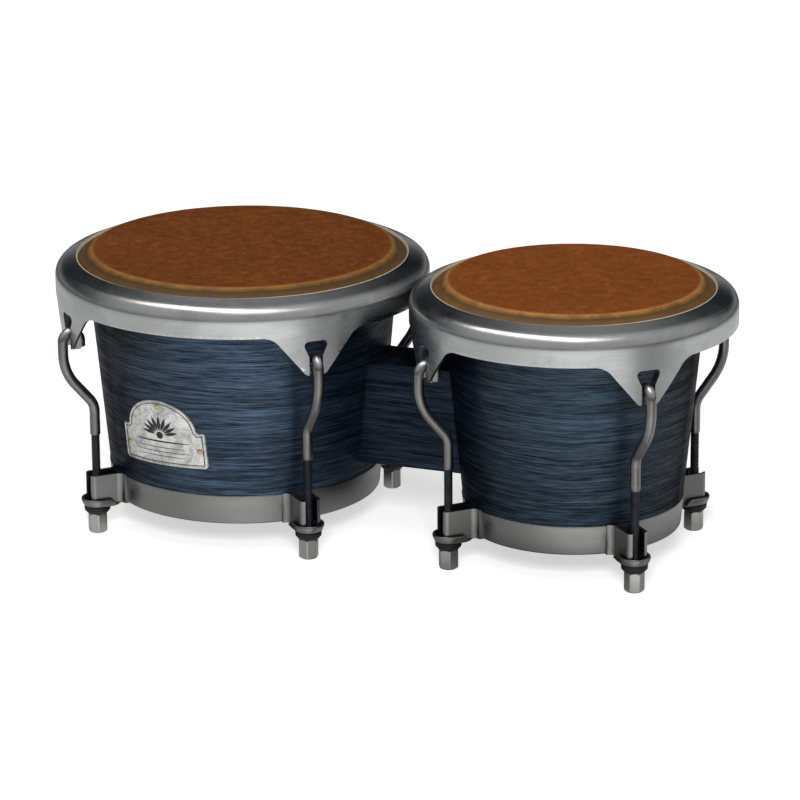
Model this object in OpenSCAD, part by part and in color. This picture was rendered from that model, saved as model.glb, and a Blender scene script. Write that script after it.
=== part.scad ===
// A pair of bongo drums: a large drum (hembra) and a small drum (macho) joined
// by a wooden centre block, each with a skin head pulled down by a steel rim,
// four hooks and four long hex nuts under the bottom ring.
// Row frame: origin on the ground, centred between the ends of the pair.
// +X runs from the large drum to the small drum, -Y is the player's badge side.

/* [Heads] */
// Diameter of the playing surface of the large drum
hembra_head_d = 216; // [206:1:230]
// Diameter of the playing surface of the small drum
macho_head_d = 178; // [170:1:190]
// Height of both playing surfaces above the ground
head_z = 200; // [196:1:215]
// Thickness of the skin
skin_t = 1.5; // [1:0.1:2]
// How far the skin falls from its flat to the edge of the rim
collar_drop = 6.9; // [6.8:0.1:7.2]
// Radius of the flesh hoop's round section
hoop_r = 4; // [3.5:0.1:4.5]

/* [Shells] */
// Diameter of the large shell at its bottom edge
hembra_foot_d = 193; // [180:1:200]
// Diameter of the small shell at its bottom edge
macho_foot_d = 152; // [146:1:160]
// How far the top of a shell stands outside its playing surface
shell_flare = 5; // [4:0.5:6]
// Thickness of the shell wall
shell_t = 11; // [8:0.5:13]

/* [Rims] */
// How far a rim stands outside the playing surface
rim_reach = 26.4; // [26:0.1:28]
// Thickness of the rim's steel
rim_t = 2; // [1.5:0.1:2.3]
// Height of the rim's outer wall between its tabs
rim_wall = 24.8; // [18:0.1:30]
// Angle at which the rim's top leans down outwards
rim_lean = 22; // [18:1:26]
// Radius of the round between the rim's top and its wall
rim_round = 10; // [8:0.5:11]
// Gap between the two rims
rim_gap = 1.2; // [0.6:0.1:8]
// Depth of a tab below the edge of the rim
tab_drop = 29.3; // [27:0.1:32]
// Half width of the slot that a hook sits in
slot_half = 5.1; // [4.6:0.1:5.6]

/* [Bottom rings] */
// Height of the bottom ring above the ground
ring_z = 22; // [21:0.5:26]
// Height of the bottom ring
ring_h = 21.4; // [18:0.2:24]
// Thickness of the ring's steel
ring_t = 2; // [1.5:0.1:2.5]

/* [Tuning hooks] */
// Diameter of the plain part of a hook
rod_d = 7.4; // [6.8:0.1:7.8]
// Diameter of the threaded part of a hook
thread_d = 6.35; // [5.8:0.05:6.4]
// Height of the top of the threaded part
thread_top = 73; // [60:1:78]
// How far the hook stands outside the rim's wall, measured to its centre
rod_standoff = 3.9; // [3.9:0.1:4.6]
// How far the hook steps in between the rim and the bracket
rod_step = 22.4; // [20:0.1:24]
// Angle of the step
step_angle = 40; // [34:1:45]
// Height at which the step begins
step_low = 90.6; // [86:0.2:92]
// Bend radius at the foot of the step
step_bend = 15; // [10:0.5:18]
// Bend radius at the head of the step
step_sweep = 36; // [26:1:40]
// Radius of the turn over the rim's tab
crook_r = 6.5; // [6.4:0.05:6.9]

/* [Lug hardware] */
// Width across the flats of a tuning nut
nut_af = 12.7; // [12:0.1:14]
// Length of a tuning nut
nut_h = 14.5; // [12:0.5:16]
// Diameter of the collar above a nut
collar_d = 18.8; // [16:0.2:20]
// Height of that collar
collar_h = 5.8; // [4:0.2:6]
// Running clearance around a thread, on the radius
run_gap = 0.06; // [0.02:0.01:0.1]
// Outside width of a lug bracket
bracket_w = 15.5; // [14.5:0.1:16.5]
// Width of the bracket's open slot
bracket_slot = 9; // [8.5:0.1:10]

/* [Centre block] */
// Depth of the block, front to back
block_d = 44; // [36:1:60]
// Height of the underside of the block
block_z = 53.5; // [46:0.5:70]
// Height of the block itself
block_h = 76; // [60:1:90]

/* [Badge] */
// Width of the badge plate
badge_w = 70.8; // [50:0.5:76]
// Height of the plate below its arch
badge_h = 26.5; // [20:0.5:34]
// Height of the arch
arch_h = 22.3; // [12:0.5:26]
// Height of the plate's lower edge above the ground
badge_z = 62.5; // [55:0.5:75]

/* [Hidden] */

wood_colour = [0.20, 0.26, 0.33];
steel_colour = [0.62, 0.62, 0.60];
dark_colour = [0.10, 0.11, 0.13];
skin_colour = [0.47, 0.26, 0.12];
brass_colour = [0.72, 0.58, 0.32];

ROUND_FN = 80;
ROD_FN = 32;
BEND_FN = 40;
SMALL_FN = 32;
EPS = 0.02;
THROUGH = 1;
BITE = 0.7;
BULGE = 0.06;

// Drum radii and the places of the two axes
hembra_r = hembra_head_d / 2;
macho_r = macho_head_d / 2;
hembra_rim_r = hembra_r + rim_reach;
macho_rim_r = macho_r + rim_reach;
spacing = hembra_rim_r + macho_rim_r + rim_gap;
half_length = hembra_rim_r + rim_gap / 2 + macho_rim_r;
hembra_x = hembra_rim_r - half_length;
macho_x = half_length - macho_rim_r;
lug_angles = [225, 315, 45, 135];

// Heights
head_flat_z = head_z - skin_t;
shell_z = ring_z + ring_t;
rim_lip = 10.2;
rim_crest = head_z - 5.2;
wall_z = rim_crest - rim_wall;
tab_z = wall_z - tab_drop;
hoop_out = 15;
skin_wrap = 1.2;
skin_fall = collar_drop / rim_lip;
skin_bend = 1;
under_fall = (skin_fall * (hoop_out - 3) + 0.6) / (hoop_out - 3 + skin_bend);
shell_top_side = head_flat_z - under_fall * (shell_flare + skin_bend) - 0.05;
ring_proud = 0.6;
hoop_z = rim_top(hoop_out - rim_lip) - (rim_t + 0.1 + skin_wrap + hoop_r) / cos(rim_lean);

// Hook heights
crook_z = tab_z + 4.3;
step_bends = step_bend + step_sweep;
step_straight = (rod_step - step_bends * (1 - cos(step_angle))) / sin(step_angle);
step_high = step_low + step_bends * sin(step_angle) + step_straight * cos(step_angle);
rod_foot = 3;
crook_tip = tab_z + 0.3;

// Lug stack, from the ground up
collar_z = nut_h;
cup_z = collar_z + collar_h;
cup_base = ring_z + 0.2 - cup_z;
cup_lip = 4;
cup_r = 11.3;
cup_t = 2;
cup_back = 7.5;
bracket_z = ring_z + 0.2;
bracket_h = ring_h + 0.4;
bracket_t = 2;
bracket_front = 6.2;
bore_r = thread_d / 2 + run_gap;

// Centre block hardware
bolt_heights = [block_z + 0.25 * block_h, block_z + 0.75 * block_h];
bolt_r = 3.9;
bolt_bite = 28;
bolt_hole_r = bolt_r + 0.05;
bolt_head_h = 5.3;
bolt_head_af = 13;
washer_r = 12;
washer_t = 2;
seat_sink = 1.5;

// Badge
badge_turn = -102.3;
badge_tilt = 2;
badge_t = 1.2;
nail_r = 1.8;
nail_span = 0.862;
nail_places = [[0, badge_h + arch_h - 4.6], [-nail_span * badge_w / 2, badge_h / 2],
    [nail_span * badge_w / 2, badge_h / 2]];

// Radius of a shell's outside at a height
function shell_r(foot, top, z) = foot + (top - foot) * (z - ring_z) / (head_z - ring_z);
function rod_in(rim_r) = rim_r + rod_standoff - rod_step;

// Height of the rim's top at a distance out from its lip
function rim_top(out) = rim_crest - tan(rim_lean) * (out - 1.5);

// Points on an arc in a profile
function arc(cx, cy, r, a0, a1, n = 6) =
    [for (i = [0:n]) let (a = a0 + (a1 - a0) * i / n) [cx + r * cos(a), cy + r * sin(a)]];

// ---- one drum's round parts, drawn about its own axis ----

module shell_cone(foot, top, grow = 0, z0 = -THROUGH, z1 = THROUGH) {
    low = ring_z + z0;
    high = head_z + z1;
    translate([0, 0, low])
        cylinder(h = high - low, r1 = shell_r(foot, top, low) + grow,
            r2 = shell_r(foot, top, high) + grow, $fn = ROUND_FN);
}

module shell_body(foot, top, head_r) {
    side_z = shell_top_side;
    ring_top = ring_z + ring_h;
    inset = ring_t - ring_proud;
    rotate_extrude($fn = ROUND_FN) polygon([
        [shell_r(foot, top, shell_z) - shell_t, shell_z],
        [shell_r(foot, top, shell_z) - inset, shell_z],
        [shell_r(foot, top, ring_top) - inset, ring_top],
        [shell_r(foot, top, ring_top), ring_top + 0.05],
        [shell_r(foot, top, side_z), side_z],
        [head_r - skin_bend - 0.05, head_flat_z - EPS],
        [head_r - skin_bend - 3, head_flat_z - EPS],
        [shell_r(foot, top, side_z) - shell_t, side_z - 2]]);
}

module bolt_seats(foot, top, side) {
    for (z = bolt_heights) {
        inner = shell_r(foot, top, z) - shell_t;
        translate([side * (inner + seat_sink), 0, z]) rotate([0, -90 * side, 0])
            cylinder(h = 8, r = washer_r + 1, $fn = SMALL_FN);
        translate([side * (inner - 4), 0, z]) rotate([0, 90 * side, 0])
            cylinder(h = shell_t + 8, r = bolt_hole_r, $fn = SMALL_FN);
    }
}

module shell(foot, top, head_r, side) {
    difference() {
        shell_body(foot, top, head_r);
        bolt_seats(foot, top, side);
    }
}

module head(head_r) {
    wrap = hoop_r + skin_wrap;
    hoop_c = head_r + hoop_out;
    difference() {
        union() {
            rotate_extrude($fn = ROUND_FN) polygon(concat(
                [[0, head_flat_z], [head_r - skin_bend, head_flat_z]],
                [[hoop_c - 3, head_z - skin_t - skin_fall * (hoop_out - 3) - 0.6]],
                [[hoop_c + wrap * sin(rim_lean), hoop_z + wrap * cos(rim_lean)]],
                [[head_r + rim_lip, head_z - collar_drop]],
                [[head_r + 2, head_z - skin_fall * 2.3], [head_r + 0.8, head_z - 0.75],
                 [head_r - 0.6, head_z - 0.2], [head_r - 3, head_z], [0, head_z]]));
            translate([0, 0, hoop_z]) rotate_extrude($fn = ROUND_FN)
                translate([hoop_c, 0]) circle(r = wrap, $fn = SMALL_FN);
        }
        translate([0, 0, hoop_z]) rotate_extrude($fn = ROUND_FN)
            translate([hoop_c, 0]) circle(r = hoop_r + EPS, $fn = SMALL_FN);
    }
}

module flesh_hoop(head_r) {
    translate([0, 0, hoop_z]) rotate_extrude($fn = ROUND_FN)
        translate([head_r + hoop_out, 0]) circle(r = hoop_r, $fn = SMALL_FN);
}

// Outline of one tab, across and up, with hollow shoulders and a blunt tip
module tab_outline() {
    flank = atan2(22, 18.5);
    root = 31.6 + (tab_drop - 29.3) / tan(flank);
    fillet = 15;
    reach = fillet * tan(flank / 2);
    for (s = [-1, 1]) scale([s, 1]) polygon(concat(
        [[0, wall_z + 3], [root + reach + 0.5, wall_z + 3]],
        arc(root + reach, wall_z - fillet, fillet, 90, 90 + flank, 7),
        [[9.6, tab_z + 2.9], [8.1, tab_z + 1.2], [6, tab_z], [0, tab_z]]));
}

// Rounded opening for the hook, wide at the top and closing into the slot
module tab_hole(grow = 0, foot = tab_z - THROUGH) {
    top = wall_z - 4.8;
    neck = tab_z + 13.1;
    half = slot_half + grow;
    for (s = [-1, 1]) scale([s, 1]) polygon(concat(
        [[-EPS, top + grow]], arc(5.6, top - 3, 3 + grow, 90, -24, 7),
        [[half, neck], [half, foot], [-EPS, foot]]));
}

module at_lugs(angle) {
    rotate([0, 0, angle]) children();
}

// Turns an across-and-up outline into a block that points outwards
module outwards(from, to) {
    translate([from, 0, 0]) rotate([90, 0, 90]) linear_extrude(to - from) children();
}

module rim(rim_r) {
    lip = rim_r - rim_reach + rim_lip;
    turn = 90 - rim_lean;
    round_x = rim_r - rim_round;
    round_z = rim_top(round_x + rim_round * cos(turn) - lip) - rim_round * sin(turn);
    edge = rim_t / 2;
    difference() {
        union() {
            rotate_extrude($fn = ROUND_FN) polygon(concat(
                [[rim_r - rim_t, wall_z], [rim_r, wall_z]],
                arc(round_x, round_z, rim_round, 0, turn, 9),
                arc(lip + edge, rim_top(edge) - edge / sin(turn), edge, turn, turn + 180),
                arc(round_x, round_z, rim_round - rim_t, turn, 0, 9)));
            intersection() {
                translate([0, 0, tab_z - THROUGH]) difference() {
                    cylinder(h = wall_z + 2 - tab_z, r = rim_r, $fn = ROUND_FN);
                    translate([0, 0, -1])
                        cylinder(h = wall_z + 4 - tab_z, r = rim_r - rim_t, $fn = ROUND_FN);
                }
                union() for (a = lug_angles) at_lugs(a) outwards(rim_r - 16, rim_r + 2) tab_outline();
            }
        }
        for (a = lug_angles) at_lugs(a) outwards(rim_r - 8, rim_r + 3) tab_hole();
    }
    for (a = lug_angles) at_lugs(a) hook_saddle(rim_r);
}

// The hole's edge, pressed in behind the tab, and the floor that carries the hook
module hook_saddle(rim_r) {
    cheek = 1.8;
    sink = 2.9;
    floor_in = rim_r - rim_t - sink;
    bore = crook_r - rod_d / 2;
    back = rim_r + rod_standoff - crook_r - floor_in;
    saddle_top = crook_z + sqrt(max(0, bore * bore - back * back)) - 0.3;
    edge = 0.6;
    difference() {
        outwards(floor_in, rim_r - edge) tab_hole(cheek, tab_z);
        outwards(floor_in - THROUGH, rim_r) tab_hole();
    }
    translate([floor_in, -slot_half - cheek, tab_z])
        cube([rim_t, 2 * (slot_half + cheek), saddle_top - tab_z]);
}

module bottom_ring(foot, top) {
    proud = ring_proud;
    flange = 8;
    ring_top = ring_z + ring_h;
    edge = 0.6;
    low = shell_r(foot, top, ring_z) + proud;
    high = shell_r(foot, top, ring_top - edge) + proud;
    rotate_extrude($fn = ROUND_FN) polygon([
        [low - flange, ring_z], [low - 1, ring_z], [low, ring_z + 1],
        [high, ring_top - edge], [high - edge, ring_top],
        [shell_r(foot, top, ring_top) + proud - ring_t + EPS, ring_top],
        [shell_r(foot, top, shell_z) + proud - ring_t + EPS, shell_z - EPS],
        [low - flange, shell_z - EPS]]);
}

// ---- one lug's parts, drawn at their place about the drum's axis ----

// A hook: threaded foot, stepped rod and the crook that turns over the tab
module hook(rim_r) {
    r_in = rod_in(rim_r);
    r_out = rim_r + rod_standoff;
    rod_r = rod_d / 2;
    translate([r_in, 0, rod_foot + 1])
        cylinder(h = thread_top - rod_foot, d = thread_d, $fn = ROD_FN);
    translate([r_in, 0, rod_foot])
        cylinder(h = 1, d1 = thread_d - 1.6, d2 = thread_d, $fn = ROD_FN);
    translate([r_in, 0, thread_top])
        cylinder(h = step_low - thread_top + BITE, r = rod_r, $fn = ROD_FN);
    bend([r_in + step_bend, 0, step_low], step_bend, 180 - step_angle, step_angle, rod_r);
    translate([r_in + step_bend * (1 - cos(step_angle)), 0,
            step_low + step_bend * sin(step_angle)])
        rotate([0, step_angle, 0]) translate([0, 0, -BITE])
            cylinder(h = step_straight + 2 * BITE, r = rod_r, $fn = ROD_FN);
    bend([r_out - step_sweep, 0, step_high], step_sweep, -step_angle, step_angle, rod_r);
    translate([r_out, 0, step_high - BITE])
        cylinder(h = crook_z - step_high + 2 * BITE, r = rod_r, $fn = ROD_FN);
    bend([r_out - crook_r, 0, crook_z], crook_r, 0, 180, rod_r);
    translate([r_out - 2 * crook_r, 0, crook_tip])
        cylinder(h = crook_z - crook_tip + BITE, r = rod_r, $fn = ROD_FN);
}

// Part of a ring of round bar in the upright plane through the drum's axis.
// It is a hair thicker than the straight bar, whose ends run a little way into it.
module bend(centre, radius, from, sweep, bar_r) {
    translate(centre) rotate([90, 0, 0]) rotate([0, 0, from])
        rotate_extrude(angle = sweep, $fn = BEND_FN)
            translate([radius, 0]) circle(r = bar_r + BULGE, $fn = ROD_FN);
}

module nut(rim_r) {
    corner_r = nut_af / 2 / cos(30);
    translate([rod_in(rim_r), 0, 0]) difference() {
        intersection() {
            cylinder(h = nut_h, r = corner_r, $fn = 6);
            union() {
                cylinder(h = 1.4, r1 = corner_r - 1.6, r2 = corner_r + 0.2, $fn = SMALL_FN);
                translate([0, 0, 1.4])
                    cylinder(h = nut_h - 1.4, r = corner_r + 0.2, $fn = SMALL_FN);
            }
        }
        translate([0, 0, -THROUGH])
            cylinder(h = nut_h + 2 * THROUGH, r = bore_r, $fn = SMALL_FN);
    }
}

module nut_collar(rim_r) {
    chamfer = 1.6;
    translate([rod_in(rim_r), 0, collar_z + EPS]) difference() {
        union() {
            cylinder(h = chamfer, r1 = collar_d / 2 - chamfer, r2 = collar_d / 2, $fn = SMALL_FN);
            translate([0, 0, chamfer])
                cylinder(h = collar_h - chamfer - EPS, d = collar_d, $fn = SMALL_FN);
        }
        translate([0, 0, -THROUGH])
            cylinder(h = collar_h + 2 * THROUGH, r = bore_r, $fn = SMALL_FN);
    }
}

// Plan of a cup: a round end at the hook and a round end near the ring
module cup_plan(r, h) {
    cylinder(h = h, r = r, $fn = SMALL_FN);
    translate([-cup_back, 0, 0]) cylinder(h = h, r = r, $fn = SMALL_FN);
    translate([-cup_back, -r + 0.06, 0]) cube([cup_back, 2 * r - 0.12, h]);
}

module cup_washer(rim_r, foot, top) {
    difference() {
        translate([rod_in(rim_r), 0, cup_z]) difference() {
            cup_plan(cup_r, cup_base + cup_lip);
            translate([0, 0, cup_base]) cup_plan(cup_r - cup_t, cup_lip + THROUGH);
            translate([-cup_back - 2 * cup_r, -2 * cup_r, cup_base])
                cube([2 * cup_r - 1.5, 4 * cup_r, cup_lip + THROUGH]);
            translate([0, 0, -THROUGH])
                cylinder(h = cup_base + 2 * THROUGH, r = bore_r, $fn = SMALL_FN);
        }
        translate([0, 0, ring_z - 0.15])
            cylinder(h = ring_h, r = shell_r(foot, top, ring_z + 6) + 1, $fn = ROUND_FN);
    }
}

// Bent plate on the ring, flared at its foot and open at the front, that holds
// the hook upright
module lug_bracket(rim_r, foot, top) {
    r_in = rod_in(rim_r);
    half = bracket_w / 2;
    front = r_in + bracket_front;
    back = shell_r(foot, top, ring_z) - 8;
    corner = 3.2;
    flare = 4.5;
    root = shell_r(foot, top, ring_z + ring_h) + ring_proud;
    difference() {
        translate([0, 0, bracket_z]) linear_extrude(bracket_h) polygon(concat(
            [[back, -half - flare]], arc(root + flare, -half - flare, flare, 180, 90),
            arc(front - corner, -half + corner, corner, -90, 0, 5),
            arc(front - corner, half - corner, corner, 0, 90, 5),
            arc(root + flare, half + flare, flare, -90, -180), [[back, half + flare]]));
        difference() {
            translate([0, 0, bracket_z - THROUGH]) linear_extrude(bracket_h + 2 * THROUGH)
                polygon(concat([[back, half - bracket_t], [back, -half + bracket_t]],
                    arc(front - corner, -half + corner, corner - bracket_t, -90, 0, 4),
                    arc(front - corner, half - corner, corner - bracket_t, 0, 90, 4)));
            ring_cone(foot, top, bracket_t);
        }
        translate([r_in, -bracket_slot / 2, bracket_z - THROUGH])
            cube([bracket_front + 1, bracket_slot, bracket_h + 2 * THROUGH]);
        ring_cone(foot, top, EPS);
    }
}

// Outside of a bottom ring, grown by an amount
module ring_cone(foot, top, grow) {
    low = ring_z - THROUGH;
    high = ring_z + ring_h + THROUGH;
    translate([0, 0, low])
        cylinder(h = high - low, r1 = shell_r(foot, top, low) + ring_proud + grow,
            r2 = shell_r(foot, top, high) + ring_proud + grow, $fn = ROUND_FN);
}

// ---- the block between the drums and what holds it ----

module centre_block_body() {
    difference() {
        translate([hembra_x + hembra_r - 12, -block_d / 2, block_z])
            cube([spacing - hembra_r - macho_r + 24, block_d, block_h]);
        translate([hembra_x, 0, 0]) shell_cone(hembra_foot_d / 2, hembra_r + shell_flare, EPS);
        translate([macho_x, 0, 0]) shell_cone(macho_foot_d / 2, macho_r + shell_flare, EPS);
        for (z = bolt_heights) {
            block_hole(hembra_x, hembra_foot_d / 2, hembra_r + shell_flare, 1, z);
            block_hole(macho_x, macho_foot_d / 2, macho_r + shell_flare, -1, z);
        }
    }
}

module block_hole(axis_x, foot, top, side, z) {
    face = shell_r(foot, top, z);
    translate([axis_x + side * (face - 3), 0, z]) rotate([0, 90 * side, 0])
        cylinder(h = bolt_bite + 4, r = bolt_hole_r, $fn = SMALL_FN);
}

module block_bolts(foot, top, side) {
    for (z = bolt_heights) {
        seat = shell_r(foot, top, z) - shell_t + seat_sink - washer_t - 2 * EPS;
        translate([side * seat, 0, z]) rotate([0, 90 * side, 0]) {
            cylinder(h = washer_t + shell_t - seat_sink + bolt_bite - 2, r = bolt_r, $fn = SMALL_FN);
            translate([0, 0, -bolt_head_h])
                cylinder(h = bolt_head_h, r = bolt_head_af / 2 / cos(30), $fn = 6);
        }
    }
}

module bolt_washers(foot, top, side) {
    for (z = bolt_heights) {
        seat = shell_r(foot, top, z) - shell_t + seat_sink - washer_t - EPS;
        translate([side * seat, 0, z]) rotate([0, 90 * side, 0]) difference() {
            cylinder(h = washer_t, r = washer_r, $fn = SMALL_FN);
            translate([0, 0, -THROUGH])
                cylinder(h = washer_t + 2 * THROUGH, r = bolt_hole_r, $fn = SMALL_FN);
        }
    }
}

// ---- the badge on the front of the large drum ----

// Badge outline, across and up from the middle of its lower edge
module badge_outline() {
    half = badge_w / 2;
    corner = 3;
    arch_w = 0.412 * badge_w;
    polygon(concat(
        arc(half - corner, corner, corner, -90, 0, 4), [[half, badge_h - 1.5]],
        [[half - 1.5, badge_h], [arch_w, badge_h]],
        [for (a = [12:12:168]) [arch_w * cos(a), badge_h + arch_h * sin(a)]],
        [[-arch_w, badge_h], [1.5 - half, badge_h], [-half, badge_h - 1.5]],
        arc(corner - half, corner, corner, 180, 270, 4)));
}

module on_badge() {
    translate([hembra_x, 0, 0]) rotate([0, 0, badge_turn])
        translate([0, 0, badge_z]) rotate([badge_tilt, 0, 0]) children();
}

module badge() {
    foot = hembra_foot_d / 2;
    top = hembra_r + shell_flare;
    difference() {
        intersection() {
            on_badge() outwards(foot - 20, foot + 20) badge_outline();
            translate([hembra_x, 0, 0]) shell_cone(foot, top, badge_t + EPS);
        }
        translate([hembra_x, 0, 0]) shell_cone(foot, top, EPS, -3, 3);
        for (p = nail_places) nail(p, foot, 30, nail_r * 0.55);
    }
}

// A pin that points straight out of the shell at a place on the badge
module nail(place, from, long, r) {
    turn = asin(place[0] / (hembra_foot_d / 2 + 4));
    on_badge() rotate([0, 0, turn]) translate([from - 10, 0, place[1]])
        rotate([0, 90, 0]) cylinder(h = long, r = r, $fn = 24);
}

module badge_nail_set() {
    foot = hembra_foot_d / 2;
    top = hembra_r + shell_flare;
    for (p = nail_places) intersection() {
        union() {
            nail(p, foot, 30, nail_r * 0.55 - EPS);
            difference() {
                nail(p, foot, 30, nail_r);
                translate([hembra_x, 0, 0]) shell_cone(foot, top, badge_t + 2 * EPS, -3, 3);
            }
        }
        difference() {
            translate([hembra_x, 0, 0]) shell_cone(foot, top, badge_t + 0.9);
            translate([hembra_x, 0, 0]) shell_cone(foot, top, EPS, -3, 3);
        }
    }
}

// ---- named sub-parts ----

module hembra(angle = 0) {
    translate([hembra_x, 0, 0]) rotate([0, 0, angle]) children();
}

module macho(angle = 0) {
    translate([macho_x, 0, 0]) rotate([0, 0, angle]) children();
}

hembra_foot = hembra_foot_d / 2;
macho_foot = macho_foot_d / 2;
hembra_top = hembra_r + shell_flare;
macho_top = macho_r + shell_flare;

module hembra_shell() {
    color(wood_colour) hembra() shell(hembra_foot, hembra_top, hembra_r, 1);
}

module macho_shell() {
    color(wood_colour) macho() shell(macho_foot, macho_top, macho_r, -1);
}

module hembra_head() {
    color(skin_colour) hembra() head(hembra_r);
}

module macho_head() {
    color(skin_colour) macho() head(macho_r);
}

module hembra_flesh_hoop() {
    color(steel_colour) hembra() flesh_hoop(hembra_r);
}

module macho_flesh_hoop() {
    color(steel_colour) macho() flesh_hoop(macho_r);
}

module hembra_rim() {
    color(steel_colour) hembra() rim(hembra_rim_r);
}

module macho_rim() {
    color(steel_colour) macho() rim(macho_rim_r);
}

module hembra_bottom_ring() {
    color(steel_colour) hembra() bottom_ring(hembra_foot, hembra_top);
}

module macho_bottom_ring() {
    color(steel_colour) macho() bottom_ring(macho_foot, macho_top);
}

module hembra_hook(i) {
    color(steel_colour) hembra(lug_angles[i]) hook(hembra_rim_r);
}

module macho_hook(i) {
    color(steel_colour) macho(lug_angles[i]) hook(macho_rim_r);
}

module hembra_nut(i) {
    color(steel_colour) hembra(lug_angles[i]) nut(hembra_rim_r);
}

module macho_nut(i) {
    color(steel_colour) macho(lug_angles[i]) nut(macho_rim_r);
}

module hembra_lug_bracket(i) {
    color(steel_colour) hembra(lug_angles[i]) lug_bracket(hembra_rim_r, hembra_foot, hembra_top);
}

module macho_lug_bracket(i) {
    color(steel_colour) macho(lug_angles[i]) lug_bracket(macho_rim_r, macho_foot, macho_top);
}

module hembra_cup_washers() {
    color(steel_colour) for (a = lug_angles)
        hembra(a) cup_washer(hembra_rim_r, hembra_foot, hembra_top);
}

module macho_cup_washers() {
    color(steel_colour) for (a = lug_angles)
        macho(a) cup_washer(macho_rim_r, macho_foot, macho_top);
}

module hembra_nut_collars() {
    color(dark_colour) for (a = lug_angles) hembra(a) nut_collar(hembra_rim_r);
}

module macho_nut_collars() {
    color(dark_colour) for (a = lug_angles) macho(a) nut_collar(macho_rim_r);
}

module hembra_block_bolts() {
    color(steel_colour) hembra() block_bolts(hembra_foot, hembra_top, 1);
}

module macho_block_bolts() {
    color(steel_colour) macho() block_bolts(macho_foot, macho_top, -1);
}

module hembra_bolt_washers() {
    color(steel_colour) hembra() bolt_washers(hembra_foot, hembra_top, 1);
}

module macho_bolt_washers() {
    color(steel_colour) macho() bolt_washers(macho_foot, macho_top, -1);
}

module centre_block() {
    color(wood_colour) centre_block_body();
}

module badge_plate() {
    color(steel_colour) badge();
}

module badge_nails() {
    color(brass_colour) badge_nail_set();
}

hembra_shell();
hembra_head();
hembra_flesh_hoop();
hembra_rim();
hembra_bottom_ring();
hembra_hook(0);  // hembra_hook_1
hembra_hook(1);  // hembra_hook_2
hembra_hook(2);  // hembra_hook_3
hembra_hook(3);  // hembra_hook_4
hembra_nut(0);  // hembra_nut_1
hembra_nut(1);  // hembra_nut_2
hembra_nut(2);  // hembra_nut_3
hembra_nut(3);  // hembra_nut_4
hembra_lug_bracket(0);  // hembra_lug_bracket_1
hembra_lug_bracket(1);  // hembra_lug_bracket_2
hembra_lug_bracket(2);  // hembra_lug_bracket_3
hembra_lug_bracket(3);  // hembra_lug_bracket_4
hembra_cup_washers();
hembra_nut_collars();
hembra_block_bolts();
hembra_bolt_washers();
macho_shell();
macho_head();
macho_flesh_hoop();
macho_rim();
macho_bottom_ring();
macho_hook(0);  // macho_hook_1
macho_hook(1);  // macho_hook_2
macho_hook(2);  // macho_hook_3
macho_hook(3);  // macho_hook_4
macho_nut(0);  // macho_nut_1
macho_nut(1);  // macho_nut_2
macho_nut(2);  // macho_nut_3
macho_nut(3);  // macho_nut_4
macho_lug_bracket(0);  // macho_lug_bracket_1
macho_lug_bracket(1);  // macho_lug_bracket_2
macho_lug_bracket(2);  // macho_lug_bracket_3
macho_lug_bracket(3);  // macho_lug_bracket_4
macho_cup_washers();
macho_nut_collars();
macho_block_bolts();
macho_bolt_washers();
centre_block();
badge_plate();
badge_nails();
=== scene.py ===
"""Looks of the bongo drums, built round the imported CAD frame. Lengths are in metres."""

import math

import bmesh
import bpy
from mathutils import Matrix, Vector, noise
from mathutils.geometry import delaunay_2d_cdt


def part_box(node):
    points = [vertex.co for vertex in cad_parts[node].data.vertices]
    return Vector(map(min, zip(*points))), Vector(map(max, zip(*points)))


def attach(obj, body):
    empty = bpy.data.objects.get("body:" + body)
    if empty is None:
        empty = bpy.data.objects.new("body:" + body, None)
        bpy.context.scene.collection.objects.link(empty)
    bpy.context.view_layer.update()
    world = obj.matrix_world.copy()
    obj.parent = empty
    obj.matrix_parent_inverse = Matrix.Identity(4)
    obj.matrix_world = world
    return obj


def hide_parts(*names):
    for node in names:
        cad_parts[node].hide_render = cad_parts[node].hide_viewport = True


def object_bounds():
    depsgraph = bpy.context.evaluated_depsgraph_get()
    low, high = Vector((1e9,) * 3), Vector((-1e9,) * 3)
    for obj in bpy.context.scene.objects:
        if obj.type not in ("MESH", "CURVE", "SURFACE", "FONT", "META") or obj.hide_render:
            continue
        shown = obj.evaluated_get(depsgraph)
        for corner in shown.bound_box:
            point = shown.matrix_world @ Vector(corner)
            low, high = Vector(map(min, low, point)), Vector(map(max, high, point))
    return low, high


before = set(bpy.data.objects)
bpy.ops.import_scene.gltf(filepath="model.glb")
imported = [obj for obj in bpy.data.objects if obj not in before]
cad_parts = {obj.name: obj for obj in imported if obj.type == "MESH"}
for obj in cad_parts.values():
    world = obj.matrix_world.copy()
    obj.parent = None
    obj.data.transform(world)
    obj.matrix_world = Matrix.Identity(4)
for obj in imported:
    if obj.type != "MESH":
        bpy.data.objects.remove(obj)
CAD_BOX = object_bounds()

MM = 0.001
TAU = 2 * math.pi

# Rim
RIM_REACH = 26.4 * MM        # from the playing surface's edge to the rim's wall
RIM_T = 2.0 * MM
RIM_ROUND = 10.0 * MM        # radius between the wall and the sloping top
RIM_LIP = 10.2 * MM          # from the playing surface's edge to the rim's inner lip
RIM_WALL = 24.8 * MM
RIM_CREST = 5.2 * MM         # how far the rim's crest lies below the playing surface
RIM_LEAN = math.radians(22)  # slope of the rim's top, down outwards
RIM_TURN = math.pi / 2 - RIM_LEAN
TAB_SLOPE = math.atan2(22.0, 18.5)
TAB_ROOT = 31.6 * MM         # half width of a tab where its flank meets the wall's edge
TAB_FILLET = 15.0 * MM
SLOT_HALF = 5.1 * MM         # half width of a keyhole's slot
SLOT_NECK = 13.1 * MM        # height of the slot, up to where the keyhole widens
HOLE_HALF = 5.6 * MM         # half width of the keyhole at its top
HOLE_ROUND = 3.0 * MM
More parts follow.
